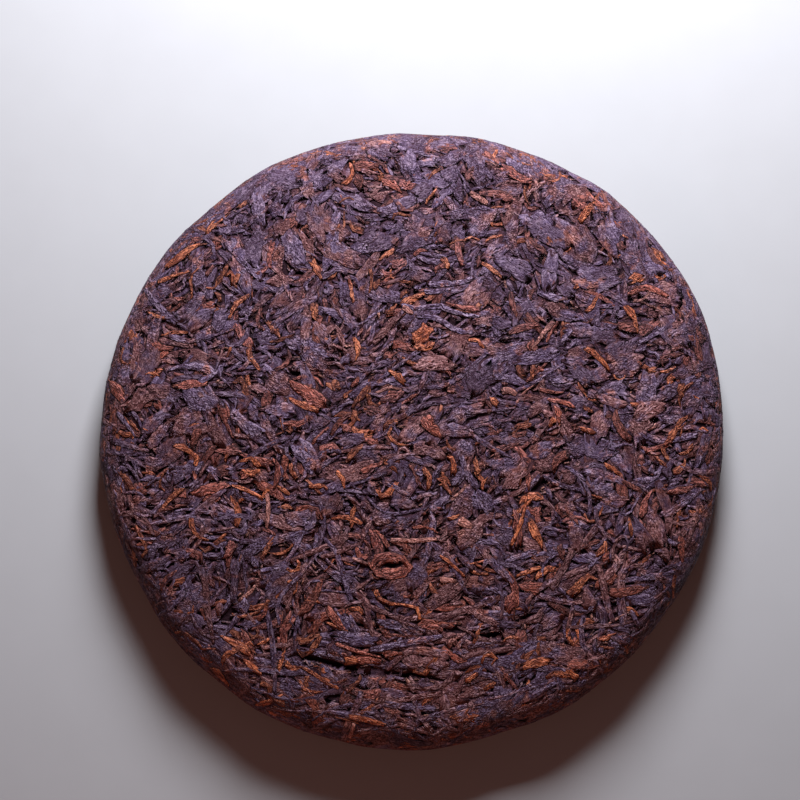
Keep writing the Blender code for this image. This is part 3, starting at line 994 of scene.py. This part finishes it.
def leaf_finish(name, kind):
    """Dry leaf: crinkled, fibrous along its length, riper here than there, with painted shade in its creases, round its
    edges and where it lies low, and painted highlights on its ridges.
    """
    colours = getattr(bpy.context.scene.tea_cake, kind)
    fibre, coarse = FINISH_HABITS.get(kind, (0.5, 1.0))
    finish = Finish(name)
    leaf = finish.node("ShaderNodeUVMap", {"uv_map": "leaf"}, {})
    place = finish.node("ShaderNodeTexCoord", {}, {}, output="Object")
    tone = finish.node("ShaderNodeAttribute", {"attribute_name": "tone"}, {}, output="Fac")
    rim = finish.node("ShaderNodeAttribute", {"attribute_name": "rim"}, {}, output="Fac")
    proud = finish.node("ShaderNodeAttribute", {"attribute_name": "proud"}, {}, output="Fac")
    across = finish.node("ShaderNodeSeparateXYZ", {}, {0: leaf}, output=0)
    along = finish.node("ShaderNodeSeparateXYZ", {}, {0: leaf}, output=1)
    # Fibres lie along the leaf, and each leaf has its own. The valleys between them are sharp.
    bent = across + (finish.cloud(place, 300, 3.0, 0.6) - 0.5) * 3.0
    on_leaf = finish.node("ShaderNodeCombineXYZ", {}, {0: bent * 1.5, 1: along * 0.30, 2: tone * 37})
    fibres = finish.ridged(finish.cloud(on_leaf, 1.0, 1.0, 0.5), 6.5).held()
    crinkle = finish.ridged(finish.cloud(place, 520, 3.0, 0.62), 7.0).held()
    grain = finish.cloud(place, 2400, 1.0, 0.6)
    mottle = finish.cloud(place, 330, 3.0, 0.6)
    rough = ((finish.cloud(place, 130, 2.0) - 0.40) * 4.0 + (tone * 29).fraction() * 0.6 - 0.3).held() * coarse
    height = fibres * (0.34 * fibre) + crinkle * (rough * 0.36 + 0.04) + grain * (rough * 0.22 + 0.06)
    # How ripe: by leaf, by patches across it, and a little by where it is on the cake. That last part is painted light,
    # the tint of the cool light above and the warm light below: cooler towards the top and warmer towards the bottom.
    region = finish.cloud(place, 45, 2.0) - 0.5
    patches = (finish.cloud(place, 210, 4.0, 0.62) - 0.5) * 2.4 + region * 1.8
    spread = 2.0 if kind in DARK_KINDS else 0.6
    # Height on the cake, for the painted tint of the lights.
    north = finish.node("ShaderNodeSeparateXYZ", {}, {0: place}, output=1)
    ripe = ((tone - 0.5) * 0.9 + patches) * spread - north * 3.6 + (0.19 if kind in DARK_KINDS else 0.55)
    hue = finish.mix(ripe.held(), colour4(colours.cool), colour4(colours.warm))
    if kind in DARK_KINDS:
        flecks = ((finish.cloud(place, 150, 5.0, 0.62) - 0.585) * 14.0).held()
        hue = finish.mix(flecks * 0.9, hue, colour4(FLECK))
    speckle = (grain - 0.5) * (rough * 2.0 + 0.8)
    # The valleys of the fibres and crinkles are painted dark, as painted shade in the creases, and their ridges light,
    # as painted highlight.
    line = (fibres * 1.5).held() * fibre + (crinkle * 1.5 + (1 - rough) * 0.4).held() * (1 - fibre)
    # Share of the lighter colour: partly real mottle, grain and wear, and partly painted highlight on the fibres'
    # ridges and on what stands proud.
    pale = ((mottle - 0.5) * 1.8 + speckle + (line - 0.6) * 0.9 + proud * 1.0 + 0.08).held()
    bright = finish.node("ShaderNodeVectorMath", {"operation": "SCALE"}, {0: hue, "Scale": 2.6})
    skin = finish.mix(pale, hue, finish.mix(0.6, bright, colour4(colours.worn)))
    # Painted shade round each leaf's edge and where it lies lower than the leaves about it.
    shade_in_gaps = (1 - rim * 1.6).held() * (1 + proud * 2.1).held()
    by_leaf = (tone * 19).fraction() * 0.56 + region * 0.7 + 0.46
    # Where this is low the colour turns to the painted shade colour; it also carries each leaf's own brightness and
    # grain.
    lit = (line * 1.05 + speckle * 0.8 - 0.03).held() * shade_in_gaps * by_leaf
    dim = finish.node("ShaderNodeVectorMath", {"operation": "SCALE"}, {0: hue, "Scale": 0.15})
    colour = finish.mix(lit, finish.mix(0.35, colour4(colours.crease), dim), skin)
    bump = finish.node("ShaderNodeBump", {}, {"Strength": 1.0, "Distance": MM, "Height": height})
    finish.set(Base_Color=colour, Roughness=(mottle * 0.3 + 0.68 - lit * 0.36).held(), Normal=bump)
    finish.set(Specular_IOR_Level=0.28, Specular_Tint=(1.0, 0.77, 0.76, 1.0))
    return finish.material


DARK_KINDS = ("broad_leaves", "twisted_leaves", "curled_leaves", "shards", "crumbs")
# How fibrous a kind's surface is, and how coarse.
FINISH_HABITS = {"broad_leaves": (0.45, 1.0), "twisted_leaves": (0.75, 0.55), "curled_leaves": (0.7, 0.6), "russet_leaves": (0.7, 0.6), "golden_buds": (0.7, 0.6)}
FLECK = (0.230, 0.062, 0.034)


def core_finish():
    """The mass under the leaves that shows in the gaps, coloured nearly black as painted shade, so that the gaps read
    as shadow.
    """
    finish = Finish("core_painted_shade")
    place = finish.node("ShaderNodeTexCoord", {}, {}, output="Object")
    grain = finish.cloud(place, 700, 4.0, 0.65)
    # Near-black stops: painted shade in the gaps between the leaves.
    stops = ((0.30, (0.007, 0.002, 0.003)), (0.62, (0.016, 0.006, 0.007)), (0.85, (0.040, 0.016, 0.015)))
    colour = finish.node("ShaderNodeValToRGB", {"stops": stops}, {0: grain})
    bump = finish.node("ShaderNodeBump", {}, {"Strength": 1.0, "Distance": MM, "Height": grain * 0.5})
    finish.set(Base_Color=colour, Roughness=0.75, Normal=bump)
    finish.set(Specular_IOR_Level=0.15, Specular_Tint=(1.0, 0.60, 0.76, 1.0))
    return finish.material


def floor_finish():
    """Pale, matt and even, with the faintest grain."""
    finish = Finish("pale_floor")
    place = finish.node("ShaderNodeTexCoord", {}, {}, output="Object")
    grain = finish.cloud(place, 60, 2.0)
    finish.set(Base_Color=finish.mix(grain, (0.37, 0.355, 0.325, 1.0), (0.39, 0.375, 0.345, 1.0)), Roughness=0.8)
    return finish.material


# ---------------------------------------------------------------------------------------------------
# Operators
# ---------------------------------------------------------------------------------------------------


def finished(obj, material, replaces=False):
    """A piece rides on the cake's one body and takes its finish."""
    obj.data.materials.clear()
    obj.data.materials.append(material)
    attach(obj, "root")
    if replaces:
        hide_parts(NODE)


class TEACAKE_OT_press(Operator):
    """Lay every leaf on the cake and press it flat"""

    bl_idname = "teacake.press"
    bl_label = "Press the leaves"

    def execute(self, context):
        PRESS["laid"] = Press(context.scene.tea_cake)
        PRESS["laid"].run()
        return {"FINISHED"}


class TEACAKE_OT_core(Operator):
    """Model the smaller core that the leaves lie on"""

    bl_idname = "teacake.core"
    bl_label = "Core"

    def execute(self, context):
        charts = PRESS["laid"].charts
        deselect_all()
        bpy.ops.mesh.primitive_uv_sphere_add(segments=240, ring_count=150, radius=1)
        core = bpy.context.object
        core.name = core.data.name = "core"
        co = np.zeros(len(core.data.vertices) * 3)
        core.data.vertices.foreach_get("co", co)
        x, y, z = co.reshape(-1, 3).T
        # The sphere's latitude becomes the way from the middle of the face, over the rim, to the dimple.
        reach = np.arccos(np.clip(z, -1, 1)) / math.pi * 2 * RIM
        angle = np.arctan2(y, x)
        points = np.zeros((len(x), 3))
        for side, chart in charts.items():
            on_side = reach <= RIM if side == FACE else reach > RIM
            out = reach[on_side] if side == FACE else 2 * RIM - reach[on_side]
            u, v = out * np.cos(angle[on_side]), side * out * np.sin(angle[on_side])
            points[on_side] = chart.point(u, v, chart.sample(chart.core, u, v))
        core.data.vertices.foreach_set("co", (points * MM).ravel())
        core.data.update()
        core.data.shade_smooth()
        finished(core, core_finish(), replaces=True)
        return {"FINISHED"}


class LeafPiece:
    """What the operators of all kinds of leaf share: they join what the press has laid."""

    kind = ""

    def execute(self, context):
        press = PRESS["laid"]
        leaves = press.laid[self.kind]
        finished(join_leaves(self.kind, leaves, press.charts), leaf_finish(self.kind + "_finish", self.kind))
        return {"FINISHED"}


class TEACAKE_OT_broad_leaves(LeafPiece, Operator):
    """Join the broad leaves"""

    bl_idname = "teacake.broad_leaves"
    bl_label = "Broad leaves"
    kind = "broad_leaves"


class TEACAKE_OT_twisted_leaves(LeafPiece, Operator):
    """Join the dark leaves that are twisted into strips"""

    bl_idname = "teacake.twisted_leaves"
    bl_label = "Twisted leaves"
    kind = "twisted_leaves"


class TEACAKE_OT_curled_leaves(LeafPiece, Operator):
    """Join the small dark leaves that are curled"""

    bl_idname = "teacake.curled_leaves"
    bl_label = "Curled leaves"
    kind = "curled_leaves"


class TEACAKE_OT_russet_leaves(LeafPiece, Operator):
    """Join the red-brown leaves"""

    bl_idname = "teacake.russet_leaves"
    bl_label = "Russet leaves"
    kind = "russet_leaves"


class TEACAKE_OT_golden_buds(LeafPiece, Operator):
    """Join the orange and golden buds"""

    bl_idname = "teacake.golden_buds"
    bl_label = "Golden buds"
    kind = "golden_buds"


class TEACAKE_OT_shards(LeafPiece, Operator):
    """Join the broken pieces of leaf"""

    bl_idname = "teacake.shards"
    bl_label = "Broken leaf"
    kind = "shards"


class TEACAKE_OT_stalks(LeafPiece, Operator):
    """Join the stalks"""

    bl_idname = "teacake.stalks"
    bl_label = "Stalks"
    kind = "stalks"


class TEACAKE_OT_crumbs(LeafPiece, Operator):
    """Join the crumbs"""

    bl_idname = "teacake.crumbs"
    bl_label = "Crumbs"
    kind = "crumbs"


def aimed(kind, name, place, target):
    """A new camera or light at a place, looking at a target, with +Y up in the picture."""
    deselect_all()
    if kind == "CAMERA":
        bpy.ops.object.camera_add(location=place)
    else:
        bpy.ops.object.light_add(type="AREA", location=place)
    obj = bpy.context.object
    obj.name = name
    back = (Vector(place) - Vector(target)).normalized()
    right = Vector((0, 1, 0)).cross(back).normalized()
    obj.rotation_euler = Matrix((right, back.cross(right), back)).transposed().to_euler()
    return obj


class TEACAKE_OT_stage(Operator):
    """Lay a pale floor and set the lights and the camera"""

    bl_idname = "teacake.stage"
    bl_label = "Stage"

    def execute(self, context):
        settings = context.scene.tea_stage
        self.floor()
        self.lights(context, settings)
        self.camera(context, settings)
        context.scene.view_settings.view_transform = "Standard"
        return {"FINISHED"}

    def floor(self):
        deselect_all()
        bpy.ops.mesh.primitive_plane_add(size=6, location=(0, 0, -0.0004))
        bpy.ops.object.transform_apply(location=True)
        floor = bpy.context.object
        floor.name = "floor"
        floor.data.materials.append(floor_finish())

    def lights(self, context, settings):
        top = 0.02
        key = aimed("LIGHT", "key_light", (0.03, 0.41, 0.26), (0, 0, top))
        key.data.energy = settings.key_power
        key.data.color = settings.key_colour
        key.data.size = 0.18
        fill = aimed("LIGHT", "fill_light", (-0.12, -0.60, 0.09), (0, 0, top))
        fill.data.energy = settings.fill_power
        fill.data.color = settings.fill_colour
        fill.data.size = 0.6
        world = bpy.data.worlds.new("room")
        context.scene.world = world
        world.use_nodes = True
        background = world.node_tree.nodes["Background"]
        background.inputs["Color"].default_value = (1.0, 0.62, 0.68, 1.0)
        background.inputs["Strength"].default_value = settings.sky

    def camera(self, context, settings):
        target = Vector((-0.00375, 0.0131, 0.018))
        away = Vector((-0.01, -0.02, 1.0)).normalized()
        camera = aimed("CAMERA", "camera", target + away * settings.camera_distance, target)
        camera.data.sensor_width = 36
        camera.data.lens = 36 * settings.camera_distance / settings.view_width
        context.scene.camera = camera


class TEACAKE_PT_panel(Panel):
    """The cake's settings and the operators that build it"""

    bl_label = "Tea cake"
    bl_idname = "TEACAKE_PT_panel"
    bl_space_type = "VIEW_3D"
    bl_region_type = "UI"
    bl_category = "Tea cake"

    def draw(self, context):
        cake = context.scene.tea_cake
        for name in ("seed", "core_depth", "squeeze", "tries"):
            self.layout.prop(cake, name)
        for operator in OPERATORS:
            self.layout.operator(operator.bl_idname)
            kind = getattr(cake, operator.bl_idname.split(".")[1], None)
            if kind is not None:
                for name in kind.__annotations__:
                    self.layout.prop(kind, name)
        for name in StageSettings.__annotations__:
            self.layout.prop(context.scene.tea_stage, name)


OPERATORS = (
    TEACAKE_OT_press,
    TEACAKE_OT_core,
    TEACAKE_OT_broad_leaves,
    TEACAKE_OT_twisted_leaves,
    TEACAKE_OT_curled_leaves,
    TEACAKE_OT_russet_leaves,
    TEACAKE_OT_golden_buds,
    TEACAKE_OT_shards,
    TEACAKE_OT_stalks,
    TEACAKE_OT_crumbs,
    TEACAKE_OT_stage,
)
SETTINGS = (
    BroadLeafSettings,
    TwistedLeafSettings,
    CurledLeafSettings,
    RussetLeafSettings,
    GoldenBudSettings,
    ShardSettings,
    StalkSettings,
    CrumbSettings,
    CakeSettings,
    StageSettings,
)


def register():
    for cls in (*SETTINGS, *OPERATORS, TEACAKE_PT_panel):
        bpy.utils.register_class(cls)
    bpy.types.Scene.tea_cake = PointerProperty(type=CakeSettings)
    bpy.types.Scene.tea_stage = PointerProperty(type=StageSettings)


def unregister():
    del bpy.types.Scene.tea_cake
    del bpy.types.Scene.tea_stage
    for cls in reversed((*SETTINGS, *OPERATORS, TEACAKE_PT_panel)):
        bpy.utils.unregister_class(cls)


def main():
    """Builds the whole cake and its stage."""
    register()
    for operator in OPERATORS:
        group, name = operator.bl_idname.split(".")
        getattr(getattr(bpy.ops, group), name)()


if __name__ == "__main__":
    main()
